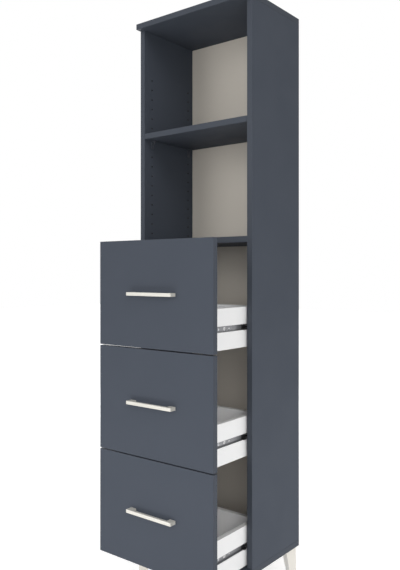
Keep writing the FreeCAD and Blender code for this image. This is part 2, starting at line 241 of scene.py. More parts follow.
@dataclass(frozen=True)
class Finish:
    """A surface finish.

    Attributes:
        name: Name of its material.
        colour: Main colour, as a screen shows it.
        fleck: Colour of the flecks in its grain.
        grain: Pattern of the grain.
        pitch: Distance from grain to grain, in metres.
        depth: Height of the grain's bumps, in metres.
        gloss: Roughness at the smoothest and at the dullest place.
        metallic: Share of bare metal.
        specular: Strength of the surface reflection.
        strength: Strength of the grain's bumps.
        patches: Broad patches under the grain.
    """

    name: str
    colour: Colour
    fleck: Colour
    grain: Grain
    pitch: float
    depth: float
    gloss: Pair
    metallic: float = 0.0
    specular: float = 0.5
    strength: float = 0.5
    patches: Patches = Patches()

    def material(self) -> bpy.types.Material:
        """Make the finish's material, or find it if it is made."""
        made = bpy.data.materials.get(self.name)
        return made if made is not None else self._paint()

    def _paint(self) -> bpy.types.Material:
        """Lay out the nodes: a fine grain over broad patches, for colour, gloss and bumps.

        Returns:
            The new material.
        """
        kind, stretch, octaves = self.grain.value
        broad = self.patches
        sheet = Sheet(bpy.data.materials.new(self.name))
        place = sheet.add("ShaderNodeTexCoord", {}).outputs["Object"]
        drawn = sheet.add("ShaderNodeMapping", {"Vector": place, "Scale": stretch}).outputs["Vector"]
        grain = sheet.add(kind, {"Vector": drawn, "Scale": 1 / self.pitch, "Detail": octaves}).outputs[0]
        noise = {"Scale": 1 / broad.size, "Detail": broad.octaves, "Distortion": broad.warp}
        patches = sheet.add("ShaderNodeTexNoise", {"Vector": place, **noise}).outputs[0]
        speckled = sheet.mix(sheet.spread(grain, 0.0, 1.0), linear(self.colour), linear(self.fleck))
        colour = sheet.mix(sheet.spread(patches, 0.0, broad.share), speckled, linear(self.fleck))
        dents = {"Height": patches, "Strength": broad.strength, "Distance": broad.height}
        normal = sheet.add("ShaderNodeBump", dents).outputs[0]
        bumps = {"Height": grain, "Strength": self.strength, "Distance": self.depth, "Normal": normal}
        shader = sheet.add("ShaderNodeBsdfPrincipled", {
            "Base Color": colour,
            "Roughness": sheet.spread(patches, *self.gloss),
            "Metallic": self.metallic,
            "Specular IOR Level": self.specular,
            "Normal": sheet.add("ShaderNodeBump", bumps).outputs[0],
        })
        sheet.add("ShaderNodeOutputMaterial", {"Surface": shader.outputs[0]})
        return sheet.owner


GRAPHITE = Finish(
    "graphite_melamine", (70, 75, 84), (67, 72, 81), Grain.PEARL,
    pitch=0.0011, depth=0.00005, gloss=(0.5, 0.6), specular=0.06,
)
GRAPHITE_BAND = Finish(
    "graphite_edge_band", (69, 73, 81), (66, 71, 79), Grain.PEARL,
    pitch=0.0007, depth=0.00003, gloss=(0.45, 0.55), specular=0.06,
)
RAW_BOARD = Finish(
    "raw_chipboard", (176, 148, 112), (112, 86, 60), Grain.CHIP,
    pitch=0.0028, depth=0.0004, gloss=(0.8, 0.95), specular=0.2,
)
# Dark board colour inside holes and grooves: painted shade, darker than the raw board they are cut into.
BORE_SHADE = Finish(
    "painted_bore_shade", (64, 56, 48), (44, 38, 34), Grain.CHIP,
    pitch=0.0016, depth=0.0002, gloss=(0.85, 0.95), specular=0.1,
)
GREIGE = Finish(
    "greige_laminate", (223, 216, 205), (217, 210, 199), Grain.PEARL,
    pitch=0.0014, depth=0.00004, gloss=(0.5, 0.62), specular=0.1,
)
HARDBOARD = Finish(
    "brown_hardboard", (142, 106, 74), (104, 74, 50), Grain.FIBRE,
    pitch=0.0012, depth=0.0001, gloss=(0.7, 0.85), specular=0.2,
)
WHITE = Finish(
    "white_melamine", (225, 225, 225), (221, 221, 221), Grain.PEARL,
    pitch=0.0012, depth=0.00004, gloss=(0.42, 0.5), specular=0.2,
)
# Lighter copy of the white melamine for the drawers' rears and bottoms: painted light that brightens the
# insides of the drawers.
WHITE_PAINTED_LIGHT = replace(
    WHITE, name="white_melamine_painted_light", colour=(252, 252, 252), fleck=(249, 249, 249),
)
WHITE_BAND = Finish(
    "white_edge_band", (240, 240, 240), (236, 236, 235), Grain.PEARL,
    pitch=0.0007, depth=0.00002, gloss=(0.34, 0.42), specular=0.3,
)
CHAMPAGNE = Finish(
    "champagne_satin", (205, 203, 195), (197, 194, 186), Grain.BRUSHED,
    pitch=0.0006, depth=0.00002, gloss=(0.3, 0.4), metallic=0.12,
)
CREAM_COAT = Finish(
    "cream_powder_coat", (220, 216, 208), (214, 210, 202), Grain.PEEL,
    pitch=0.0013, depth=0.00006, gloss=(0.36, 0.46),
)
# Paler copy of the cream coat for the faces inside each leg's angle: painted light that lifts the shade
# there.
CREAM_COAT_PAINTED_LIGHT = replace(
    CREAM_COAT, name="cream_coat_painted_light", colour=(244, 241, 236), fleck=(238, 235, 230),
)
ZINC = Finish(
    "zinc_plate", (134, 135, 137), (120, 121, 124), Grain.ROLLED,
    pitch=0.0016, depth=0.00001, gloss=(0.24, 0.34), metallic=0.6,
)
BRIGHT_ZINC = Finish(
    "bright_zinc", (202, 203, 204), (180, 182, 186), Grain.SPANGLE,
    pitch=0.0012, depth=0.00001, gloss=(0.22, 0.3), metallic=1.0,
)
BALL_STEEL = Finish(
    "ball_steel", (214, 214, 216), (200, 201, 204), Grain.PEARL,
    pitch=0.0008, depth=0.000002, gloss=(0.08, 0.14), metallic=1.0,
)
BLACK_PLASTIC = Finish(
    "black_moulding", (30, 30, 32), (24, 24, 26), Grain.PEARL,
    pitch=0.0004, depth=0.00002, gloss=(0.38, 0.48),
)
GREY_PLASTIC = Finish(
    "grey_moulding", (66, 70, 78), (61, 65, 73), Grain.PEARL,
    pitch=0.0005, depth=0.00002, gloss=(0.4, 0.5),
)
PAD_PLASTIC = Finish(
    "dark_pad", (48, 48, 50), (40, 40, 42), Grain.PEARL,
    pitch=0.0006, depth=0.00004, gloss=(0.55, 0.68),
)
BEECH = Finish(
    "beech", (214, 176, 132), (186, 146, 102), Grain.TIMBER,
    pitch=0.0011, depth=0.00005, gloss=(0.6, 0.72), specular=0.3,
)


def linked(name: str, data: bpy.types.ID) -> bpy.types.Object:
    """Put an object with some data into the scene.

    Args:
        name: Name of the object.
        data: Its mesh, lamp or camera.

    Returns:
        The object.
    """
    item = bpy.data.objects.new(name, data)
    bpy.context.scene.collection.objects.link(item)
    return item


def aimed(place: Vector, way: Vector) -> Matrix:
    """What moves a shape from the origin to a place and turns it from Z to a way."""
    return Matrix.Translation(place) @ way.to_track_quat("Z", "Y").to_matrix().to_4x4()


class Work(Enum):
    """What one shape does to another."""

    CUTS = "DIFFERENCE"
    WELDS = "UNION"


class Form:
    """A shape in the making, in the model's own place."""

    def __init__(self) -> None:
        """Start an empty shape."""
        self.mesh = bmesh.new()

    @classmethod
    def block(cls, low: Vector, high: Vector) -> "Form":
        """Square block between two corners.

        Args:
            low: Its lowest corner.
            high: Its highest corner.

        Returns:
            The block.
        """
        form = cls()
        bmesh.ops.create_cube(form.mesh, size=1.0)
        bmesh.ops.scale(form.mesh, vec=high - low, verts=form.mesh.verts)
        bmesh.ops.translate(form.mesh, vec=(low + high) / 2, verts=form.mesh.verts)
        return form

    @classmethod
    def bar(cls, radius: float, start: Vector, end: Vector, sides: int = ROUND_STEPS) -> "Form":
        """Round bar between two points.

        Args:
            radius: Radius of the bar.
            start: Middle of one end.
            end: Middle of the other end.
            sides: Steps round it.

        Returns:
            The bar.
        """
        form = cls()
        run = end - start
        sizes = {"segments": sides, "radius1": radius, "radius2": radius, "depth": run.length}
        bmesh.ops.create_cone(form.mesh, cap_ends=True, **sizes)
        return form.placed(aimed((start + end) / 2, run))

    @classmethod
    def ball(cls, radius: float, middle: Vector) -> "Form":
        """Ball about a point.

        Args:
            radius: Radius of the ball.
            middle: The point.

        Returns:
            The ball.
        """
        form = cls()
        steps = dict(zip(("u_segments", "v_segments"), BALL_STEPS))
        bmesh.ops.create_uvsphere(form.mesh, radius=radius, **steps)
        return form.placed(Matrix.Translation(middle))

    @classmethod
    def turned(cls, profile: Sequence[Pair], steps: int) -> "Form":
        """Shape turned about Z.

        Args:
            profile: Radius and height of each point, from one pole to the other.
            steps: Steps round it.

        Returns:
            The closed shape.
        """
        form = cls()
        verts = [form.mesh.verts.new((radius, 0, height)) for radius, height in profile]
        edges = [form.mesh.edges.new(pair) for pair in zip(verts, verts[1:])]
        turn = {"cent": (0, 0, 0), "axis": (0, 0, 1), "angle": math.tau, "steps": steps}
        bmesh.ops.spin(form.mesh, geom=verts + edges, use_merge=True, **turn)
        return form.closed()

    @classmethod
    def pushed(cls, outline: Sequence[Vector], run: Vector) -> "Form":
        """Flat outline pushed along a straight run.

        Args:
            outline: Corners of the outline, in order.
            run: How far and which way it is pushed.

        Returns:
            The closed shape.
        """
        form = cls()
        face = form.mesh.faces.new([form.mesh.verts.new(corner) for corner in outline])
        moved = bmesh.ops.extrude_face_region(form.mesh, geom=[face])["geom"]
        verts = [item for item in moved if isinstance(item, bmesh.types.BMVert)]
        bmesh.ops.translate(form.mesh, vec=run, verts=verts)
        return form.closed()

    def closed(self) -> "Form":
        """Weld the seams and poles, and turn all faces outwards.

        Returns:
            The shape itself.
        """
        bmesh.ops.remove_doubles(self.mesh, verts=self.mesh.verts, dist=TOUCH)
        bmesh.ops.recalc_face_normals(self.mesh, faces=self.mesh.faces)
        return self

    def placed(self, matrix: Matrix) -> "Form":
        """Move and turn the shape."""
        bmesh.ops.transform(self.mesh, matrix=matrix, verts=self.mesh.verts)
        return self

    def twin(self, matrix: Matrix) -> "Form":
        """Copy the shape to another place.

        Args:
            matrix: Moves, turns or mirrors the copy.

        Returns:
            The copy, turned the right way out where it is mirrored.
        """
        form = Form()
        form.mesh.free()
        form.mesh = self.mesh.copy()
        form.placed(matrix)
        return form.closed() if matrix.determinant() < 0 else form

    def add(self, *others: "Form") -> "Form":
        """Take other shapes into this one, each as it is.

        Args:
            others: The other shapes, which are used up.

        Returns:
            The shape itself.
        """
        for other in others:
            data = other.data("part")
            self.mesh.from_mesh(data)
            bpy.data.meshes.remove(data)
        return self

    def data(self, name: str) -> bpy.types.Mesh:
        """Turn the shape into mesh data, and let the shape go.

        Args:
            name: Name of the mesh data.

        Returns:
            The mesh data.
        """
        data = bpy.data.meshes.new(name)
        self.mesh.to_mesh(data)
        self.mesh.free()
        return data

    def rounded(self, width: float, chosen: Callable[[Edge], bool], steps: int = 3) -> "Form":
        """Round some of the edges.

        Args:
            width: Radius of the rounding.
            chosen: Tells whether an edge is rounded.
            steps: Steps across the rounding.

        Returns:
            The shape itself.
        """
        edges = [edge for edge in self.mesh.edges if chosen(edge)]
        look = {"segments": steps, "profile": 0.5, "material": -1, "clamp_overlap": True}
        bmesh.ops.bevel(self.mesh, geom=edges, offset=width, affect="EDGES", **look)
        return self

    def split(self, point: Vector, normal: Vector) -> "Form":
        """Score a line round the shape where a plane meets it.

        Args:
            point: A point of the plane.
            normal: The way the plane looks.

        Returns:
            The shape itself.
        """
        parts = list(self.mesh.verts) + list(self.mesh.edges) + list(self.mesh.faces)
        bmesh.ops.bisect_plane(self.mesh, geom=parts, dist=TOUCH, plane_co=point, plane_no=normal)
        return self

    def carved(self, tools: Sequence["Form"]) -> "Form":
        """Cut shapes that are clear of each other out of this one, and use them up."""
        return self._worked(tools, Work.CUTS) if tools else self

    def welded(self, *parts: "Form") -> "Form":
        """Weld shapes that are clear of each other onto this one, and use them up."""
        return self._worked(parts, Work.WELDS)

    def _worked(self, others: Sequence["Form"], work: Work) -> "Form":
        """Let other shapes work on this one.

        Args:
            others: The other shapes.
            work: What they do to this one.

        Returns:
            The shape itself.
        """
        whole = linked("whole", self.data("whole"))
        other = linked("other", Form().add(*others).data("other"))
        step = whole.modifiers.new("work", "BOOLEAN")
        step.operation = work.value
        step.solver = "EXACT"
        step.object = other
        graph = bpy.context.evaluated_depsgraph_get()
        result = bpy.data.meshes.new_from_object(whole.evaluated_get(graph))
        self.mesh = bmesh.new()
        self.mesh.from_mesh(result)
        bpy.data.meshes.remove(result)
        for item in (whole, other):
            data = item.data
            bpy.data.objects.remove(item)
            bpy.data.meshes.remove(data)
        return self

    def painted(self, rule: Callable[[Facet], int]) -> "Form":
        """Give each face the number of its finish.

        Args:
            rule: Tells the number for a face.

        Returns:
            The shape itself.
        """
        self.mesh.normal_update()
        for face in self.mesh.faces:
            face.material_index = int(rule(face))
        return self


def show(name: str, form: Form, finishes: Sequence[Finish], body: str, slot: str, *nodes: str) -> None:
    """Put a finished piece into the scene.

    Args:
        name: Name of the piece.
        form: Its shape, which is used up.
        finishes: Its finishes, by the numbers on its faces.
        body: The body it rides on.
        slot: Name of a material slot; not used.
        nodes: The nodes it stands for.
    """
    data = form.data(name)
    for finish in finishes:
        data.materials.append(finish.material())
    data.shade_smooth()
    data.set_sharp_from_angle(angle=SMOOTH_BELOW)
    piece = linked(name, data)
    shading = piece.modifiers.new("even_shading", "WEIGHTED_NORMAL")
    shading.keep_sharp = True
    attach(piece, body)
    if nodes:
        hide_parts(*nodes)
    log.info("%s: %d faces, rides on %s", name, len(data.polygons), body)


@cache
def box_of(node: str) -> Box:
    """Lowest and highest corner of a node, measured once."""
    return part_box(node)


def islands(node: str) -> list[Box]:
    """Measure each separate solid in a node.

    Args:
        node: The node.

    Returns:
        Lowest and highest corner of each solid, from left to right.
    """
    form = Form()
    form.mesh.from_mesh(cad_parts[node].data)
    bmesh.ops.remove_doubles(form.mesh, verts=form.mesh.verts, dist=TOUCH)
    left = set(form.mesh.verts)
    found = []
    while left:
        reached = [left.pop()]
        for vert in reached:
            near = {edge.other_vert(vert) for edge in vert.link_edges} & left
            left -= near
            reached.extend(near)
        places = [vert.co for vert in reached]
        low = Vector([min(place[axis] for place in places) for axis in (X, Y, Z)])
        high = Vector([max(place[axis] for place in places) for axis in (X, Y, Z)])
        found.append((low, high))
    form.mesh.free()
    return sorted(found, key=lambda box: tuple(box[0]))


def middle_of(box: Box) -> Vector:
    """Middle of a box."""
    return (box[0] + box[1]) / 2


def height_of(box: Box) -> float:
    """Height of a box's middle."""
    return (box[0].z + box[1].z) / 2


def long_axis(box: Box) -> int:
    """Number of the axis along which a box is longest."""
    size = box[1] - box[0]
    return max((X, Y, Z), key=lambda axis: size[axis])


def ends(box: Box) -> Box:
    """Find the middles of a long box's two ends.

    Args:
        box: The box.

    Returns:
        The lower end and the higher one.
    """
    axis = long_axis(box)
    start, end = middle_of(box), middle_of(box)
    start[axis], end[axis] = box[0][axis], box[1][axis]
    return start, end


def radius_of(box: Box) -> float:
    """Radius of the eight-sided bar in a box, out to its corners."""
    across = (box[1] - box[0])[(long_axis(box) + 1) % 3]
    return across / 2 / math.cos(math.pi / BAR_SIDES)


def grown(box: Box, play: float) -> Box:
    """Box with a play all round it."""
    margin = Vector((play, play, play))
    return box[0] - margin, box[1] + margin


def meets(first: Box, second: Box) -> bool:
    """Whether two boxes share any space."""
    return all(first[0][axis] < second[1][axis] and second[0][axis] < first[1][axis] for axis in (X, Y, Z))


def is_sharp(edge: Edge) -> bool:
    """Whether two faces meet at a sharp angle in an edge, which leaves out an open edge."""
    return edge.calc_face_angle(0.0) > SMOOTH_BELOW


def is_corner(edge: Edge) -> bool:
    """Whether an edge is an outer corner of a shape."""
    return edge.is_convex and is_sharp(edge)


def run_along(edge: Edge, axis: int) -> float:
    """How far an edge runs along an axis."""
    return abs(edge.verts[0].co[axis] - edge.verts[1].co[axis])


class Face(Enum):
    """Outer face of a board, by its axis and the way it looks."""

    LEFT = (X, -1)
    RIGHT = (X, 1)
    FRONT = (Y, -1)
    REAR = (Y, 1)
    UNDER = (Z, -1)
    OVER = (Z, 1)

    def place(self, box: Box) -> float:
        """Where this face of a box lies along its axis."""
        axis, way = self.value
        return box[(way + 1) // 2][axis]


class Skin(IntEnum):
    """Number of each finish on a board's faces."""

    LAMINATE = 0
    BAND = 1
    CORE = 2
    CUT = 3


@dataclass
class Board:
    """A board with laminate on its two large faces and edge band on some of its edges.

    Attributes:
        node: The node it stands for.
        banded: Edges that carry edge band.
        laminate: Finish of the large faces.
        band: Finish of the banded edges.
        core: Finish of the other edges.
        cut: Finish inside holes and grooves; the default is a dark colour that paints the shade in them.
        band_thickness: Thickness of the edge band.
        softness: Rounding of its edges.
        dowel_play: Room round a dowel in its hole.
        groove_play: Room round a thin panel in its groove.
    """

    node: str
    banded: tuple[Face, ...]
    laminate: Finish = GRAPHITE
    band: Finish = GRAPHITE_BAND
    core: Finish = RAW_BOARD
    cut: Finish = BORE_SHADE
    band_thickness: float = 0.001
    softness: float = 0.0008
    dowel_play: float = 0.0001
    groove_play: float = 0.0003

    @property
    def box(self) -> Box:
        """Lowest and highest corner."""
        return box_of(self.node)

    def plain(self) -> Form:
        """Make the board before it is drilled and grooved.

        Returns:
            The board, scored where its edge band begins.
        """
        form = Form.block(*self.box).rounded(self.softness, is_corner)
        for face in self.banded:
            axis, way = face.value
            point, normal = Vector(), Vector()
            point[axis] = face.place(self.box) - way * self.band_thickness
            normal[axis] = way
            form.split(point, normal)
        return form

    def bores(self, node: str, radius: float | None = None) -> list[Form]:
        """Round holes for those pins of a node that reach into the board.

        Args:
            node: A node of dowels or screws.
            radius: Radius of the holes, or none for that of the dowels with some play.

        Returns:
            The tools.
        """
        tools = []
        for pin in islands(node):
            if meets(pin, self.box):
                start, end = ends(pin)
                slack = (end - start).normalized() * self.dowel_play
                reach = radius or radius_of(pin) + self.dowel_play
                tools.append(Form.bar(reach, start - slack, end + slack))
        return tools

    def groove(self, node: str) -> list[Form]:
        """Groove for a thin panel that reaches into the board."""
        return [Form.block(*grown(box_of(node), self.groove_play))]

    def finish_of(self, face: Facet) -> Skin:
        """Finish of a face by where it lies.

        Args:
            face: A face of the finished board.

        Returns:
            The number of its finish.
        """
        middle = face.calc_center_median()
        low, high = self.box
        size = high - low
        thin = min((X, Y, Z), key=lambda axis: size[axis])
        depths = [min(middle[axis] - low[axis], high[axis] - middle[axis]) for axis in (X, Y, Z)]
        if min(depths) > self.softness:
            return Skin.CUT
        for side in self.banded:
            axis, way = side.value
            if way * (side.place(self.box) - middle[axis]) < self.band_thickness:
                return Skin.BAND
        return Skin.LAMINATE if depths[thin] < self.softness else Skin.CORE

    def show(self, body: str, slot: str, tools: Sequence[Form]) -> None:
        """Drill and groove the board, and put it into the scene.

        Args:
            body: The body it rides on.
            slot: Its material slot.
            tools: Shapes to cut out of it.
        """
        form = self.plain().carved(tools).painted(self.finish_of)
        finishes = (self.laminate, self.band, self.core, self.cut)
        show(self.node + "_board", form, finishes, body, slot, self.node)


@dataclass
class Panel:
    """A thin panel with one finished face.

    Attributes:
        node: The node it stands for.
        side: The finished face.
        finish: Its finish.
        raw: Finish of the other faces.
    """

    node: str
    side: Face
    finish: Finish
    raw: Finish = HARDBOARD

    def show(self, name: str, body: str, slot: str) -> None:
        """Put the panel into the scene.

        Args:
            name: Name of the piece.
            body: The body it rides on.
            slot: Its material slot.
        """
        axis, way = self.side.value
        form = Form.block(*box_of(self.node)).painted(lambda face: way * face.normal[axis] <= LOOKS_ALONG)
        show(name, form, (self.finish, self.raw), body, slot, self.node)


@dataclass
class Case:
    """Boards of the case, its shelves and its back.

    Attributes:
        hole_pitch: Distance from shelf hole to shelf hole.
        hole_radius: Radius of a shelf hole.
        hole_depth: Depth of a shelf hole.
        hole_setbacks: Distances of the two rows from the sides' front edges.
        first_hole: Height of the lowest hole over the fixed shelf.
        holes_per_row: Shelf holes in a row.
        pilot_radius: Radius of the holes for the legs' screws.
    """

    hole_pitch: float = 0.032
    hole_radius: float = 0.0025
    hole_depth: float = 0.01
    hole_setbacks: Pair = (0.037, 0.229)
    first_hole: float = 0.0235
    holes_per_row: int = 17
    pilot_radius: float = 0.0023

    def shelf_holes(self, side: Board) -> list[Form]:
        """Drill two rows of blind holes for shelf supports.

        Args:
            side: The side panel, into whose inner face they go.

        Returns:
            The tools.
        """
        low, high = side.box
        way = 1 if low.x < 0 else -1
        inner = high.x if way > 0 else low.x
        into = Vector((way, 0, 0))
        start = box_of("fixed_shelf")[1].z + self.first_hole
        tools = []
        for setback in self.hole_setbacks:
            for index in range(self.holes_per_row):
                mouth = Vector((inner, low.y + setback, start + index * self.hole_pitch))
                bottom, outside = mouth - into * self.hole_depth, mouth + into * OVERRUN
                tools.append(Form.bar(self.hole_radius, bottom, outside))
        return tools

    def show_sides(self) -> None:
        """Both side panels, with their shelf holes, back groove and dowel holes."""
        for word in SIDES:
            board = Board(word + "_side_panel", (Face.FRONT,))
            tools = self.shelf_holes(board) + board.bores("case_dowels") + board.groove("back_panel")
            board.show("root", "graphite_board", tools)

    def show_caps(self) -> None:
        """Top and bottom panels, banded where they show."""
        for name in ("top_panel", "bottom_panel"):
            board = Board(name, (Face.FRONT, Face.LEFT, Face.RIGHT))
            tools = board.bores("case_dowels") + board.groove("back_panel")
            if name == "bottom_panel":
                tools += board.bores("leg_screws", self.pilot_radius)
            board.show("root", "graphite_board", tools)

    def show_shelves(self) -> None:
        """The fixed shelf and the one that lies on supports."""
        fixed = Board("fixed_shelf", (Face.FRONT,))
        fixed.show("root", "graphite_board", fixed.bores("case_dowels"))
        Board("adjustable_shelf", (Face.FRONT,)).show("root", "graphite_board", [])

    def show(self) -> None:
        """Every board of the case, and its back, greige in front and raw behind."""
        self.show_sides()
        self.show_caps()
        self.show_shelves()
        Panel("back_panel", Face.FRONT, GREIGE).show("back_panel_board", "root", "greige_back")


@dataclass
class Dowels:
    """Fluted wooden dowels.

    Attributes:
        flutes: Grooves round a dowel.
        flute_bottom: Share of a dowel's radius at the bottom of its grooves.
        tip: Chamfer at a dowel's ends.
    """

    flutes: int = 16
    flute_bottom: float = 0.94
    tip: float = 0.0015

    def dowel(self, box: Box) -> Form:
        """Turn a plain dowel into a fluted one.

        Args:
            box: Lowest and highest corner of the plain dowel.

        Returns:
            The fluted dowel.
        """
        start, end = ends(box)
        length = (end - start).length
        form = Form.bar(radius_of(box), Vector(), Vector((0, 0, length)), 2 * self.flutes)
        for vert in form.mesh.verts:
            step = round(math.atan2(vert.co.y, vert.co.x) / math.pi * self.flutes)
            if step % 2:
                vert.co.xy *= self.flute_bottom
        form.rounded(self.tip, lambda edge: run_along(edge, Z) < TOUCH, 1)
        return form.placed(aimed(start, end - start))

    def show(self, owner: str, body: str) -> None:
        """Put every dowel of an owner into the scene as one piece.

        Args:
            owner: What they hold together, as the node's name begins.
            body: The body it rides on.
        """
        node = owner + "_dowels"
        form = Form().add(*[self.dowel(box) for box in islands(node)])
        show(owner + "_dowel_pins", form, (BEECH,), body, "dowel_wood", node)


@dataclass(frozen=True)
class Screw:
    """A screw with a cross recess, made upright with its tip at the bottom.

    Attributes:
        shank: Radius of the shank.
        length: Length of the shank.
        head: Radius of the head.
        height: Height of the head.
        sunk: Whether the head is a countersunk one.
        pitch: Distance from thread to thread.
        recess: Half the length of the recess's arms.
        core_share: Radius between the threads, as a share of the shank's.
        rim_share: Height of a raised head's upright rim, as a share of the head's.
        crown_turns: Angles of the points on a raised head's crown.
        arm_share: Half the width of the recess's arms, as a share of half their length.
        depth_share: Depth of the recess, as a share of half the arms' length.
        spin: How much further each screw of a set is turned, in radians.
    """

    shank: float
    length: float
    head: float
    height: float
    sunk: bool = False
    pitch: float = 0.0012
    recess: float = 0.0022
    core_share: float = 0.72
    rim_share: float = 0.25
    crown_turns: tuple[float, ...] = (0.35, 0.75, 1.15)
    arm_share: float = 0.22
    depth_share: float = 0.8
    spin: float = 0.6

    def form(self) -> Form:
        """Turn the screw and cut its recess.

        Returns:
            The screw along Z, with the seat of its head at the origin.
        """
        core = self.shank * self.core_share
        profile = [(0.0, -self.length), (core / 2, -self.length + self.pitch / 2)]
        turns = int((self.length - self.pitch) / self.pitch)
        for index in range(turns):
            height = -self.length + (index + 1) * self.pitch
            profile += [(core, height - self.pitch / 4), (self.shank, height)]
        profile.append((core, -self.pitch / 4))
        if self.sunk:
            profile += [(self.shank, -self.height), (self.head, 0.0), (0.0, 0.0)]
        else:
            profile += self.raised_head()
        top = 0.0 if self.sunk else self.height
        return Form.turned(profile, SMALL_STEPS).carved([self.cross(top)])

    def raised_head(self) -> list[Pair]:
        """Draw the profile of a raised head, with a round crown on an upright rim.

        Returns:
            Radius and height of each point, from the shank to the top.
        """
        rim = self.height * self.rim_share
        points = [(self.shank, 0.0), (self.head, 0.0), (self.head, rim)]
        for turn in self.crown_turns:
            points.append((self.head * math.cos(turn), rim + (self.height - rim) * math.sin(turn)))
        return points + [(0.0, self.height)]

    def cross(self, top: float) -> Form:
        """Make the tool that cuts the recess.

        Args:
            top: Height of the head's highest point.

        Returns:
            The tool.
        """
        arm, half = self.recess, self.recess * self.arm_share
        low, high = top - self.recess * self.depth_share, top + OVERRUN
        first = Form.block(Vector((-arm, -half, low)), Vector((arm, half, high)))
        return first.welded(Form.block(Vector((-half, -arm, low)), Vector((half, arm, high))))

    def driven(self, seats: Sequence[tuple[Vector, Vector]]) -> Form:
        """Drive a set of these screws into several places.

        Args:
            seats: Seat of each head, and the way that the head looks.

        Returns:
            The screws as one shape.
        """
        first = self.form()
        copies = []
        for index, (seat, way) in enumerate(seats):
            copies.append(first.twin(aimed(seat, way) @ Matrix.Rotation(self.spin * index, 4, "Z")))
        first.mesh.free()
        return Form().add(*copies)


@dataclass
class Supports:
    """Moulded shelf supports: a pin in the side, a plate on its face and a ribbed tongue.

    Attributes:
        plate: Thickness of plate and tongue.
        rib: Thickness of the rib.
        pin_radius: Radius of the pin.
        pin_drop: Distance of the pin under the shelf.
        pin_end: Rounding of the pin's end.
        corner: Rounding of the plate's two lower corners.
        softness: Rounding of the other edges.
    """

    plate: float = 0.0025
    rib: float = 0.0024
    pin_radius: float = 0.0024
    pin_drop: float = 0.0227
    pin_end: float = 0.0006
    corner: float = 0.0018
    softness: float = 0.0003

    def support(self, box: Box) -> Form:
        """Make one support: for the left side as it is, and for the right one mirrored.

        Args:
            box: Its lowest and highest corner.

        Returns:
            The support.
        """
        low, high = box
        near, far = sorted((abs(low.x), abs(high.x)))
        face, end, blind = box_of("left_side_panel")[1].x, -near, -far
        inner = face + self.plate
        plate = Form.block(Vector((face, low.y, low.z)), Vector((inner, high.y, high.z)))

        def low_corner(edge: Edge) -> bool:
            """Whether an edge is one of the plate's two lower corners."""
            return run_along(edge, X) > TOUCH and max(vert.co.z for vert in edge.verts) < low.z + TOUCH

        plate.rounded(self.corner, low_corner)
        under = high.z - self.plate
        tongue = Form.block(Vector((face, low.y, under)), Vector((end, high.y, high.z)))
        middle = (low.y + high.y) / 2
        corners = ((inner, under), (end, under), (inner, low.z + self.plate))
        outline = [Vector((x, middle - self.rib / 2, z)) for x, z in corners]
        bracket = plate.welded(tongue).welded(Form.pushed(outline, Vector((0, self.rib, 0))))
        height = high.z - self.pin_drop
        start, stop = Vector((blind, middle, height)), Vector((face + self.plate / 2, middle, height))
        pin = Form.bar(self.pin_radius, start, stop)
        pin.rounded(self.pin_end, lambda edge: is_corner(edge) and edge.verts[0].co.x < blind + TOUCH, 2)
        bracket.welded(pin).rounded(self.softness, is_corner, 2)
        return bracket if low.x < 0 else bracket.twin(MIRRORED)

    def show(self) -> None:
        """All four supports as one piece."""
        form = Form().add(*[self.support(box) for box in islands("shelf_supports")])
        show("shelf_support_pegs", form, (GREY_PLASTIC,), "root", "support_plastic", "shelf_supports")


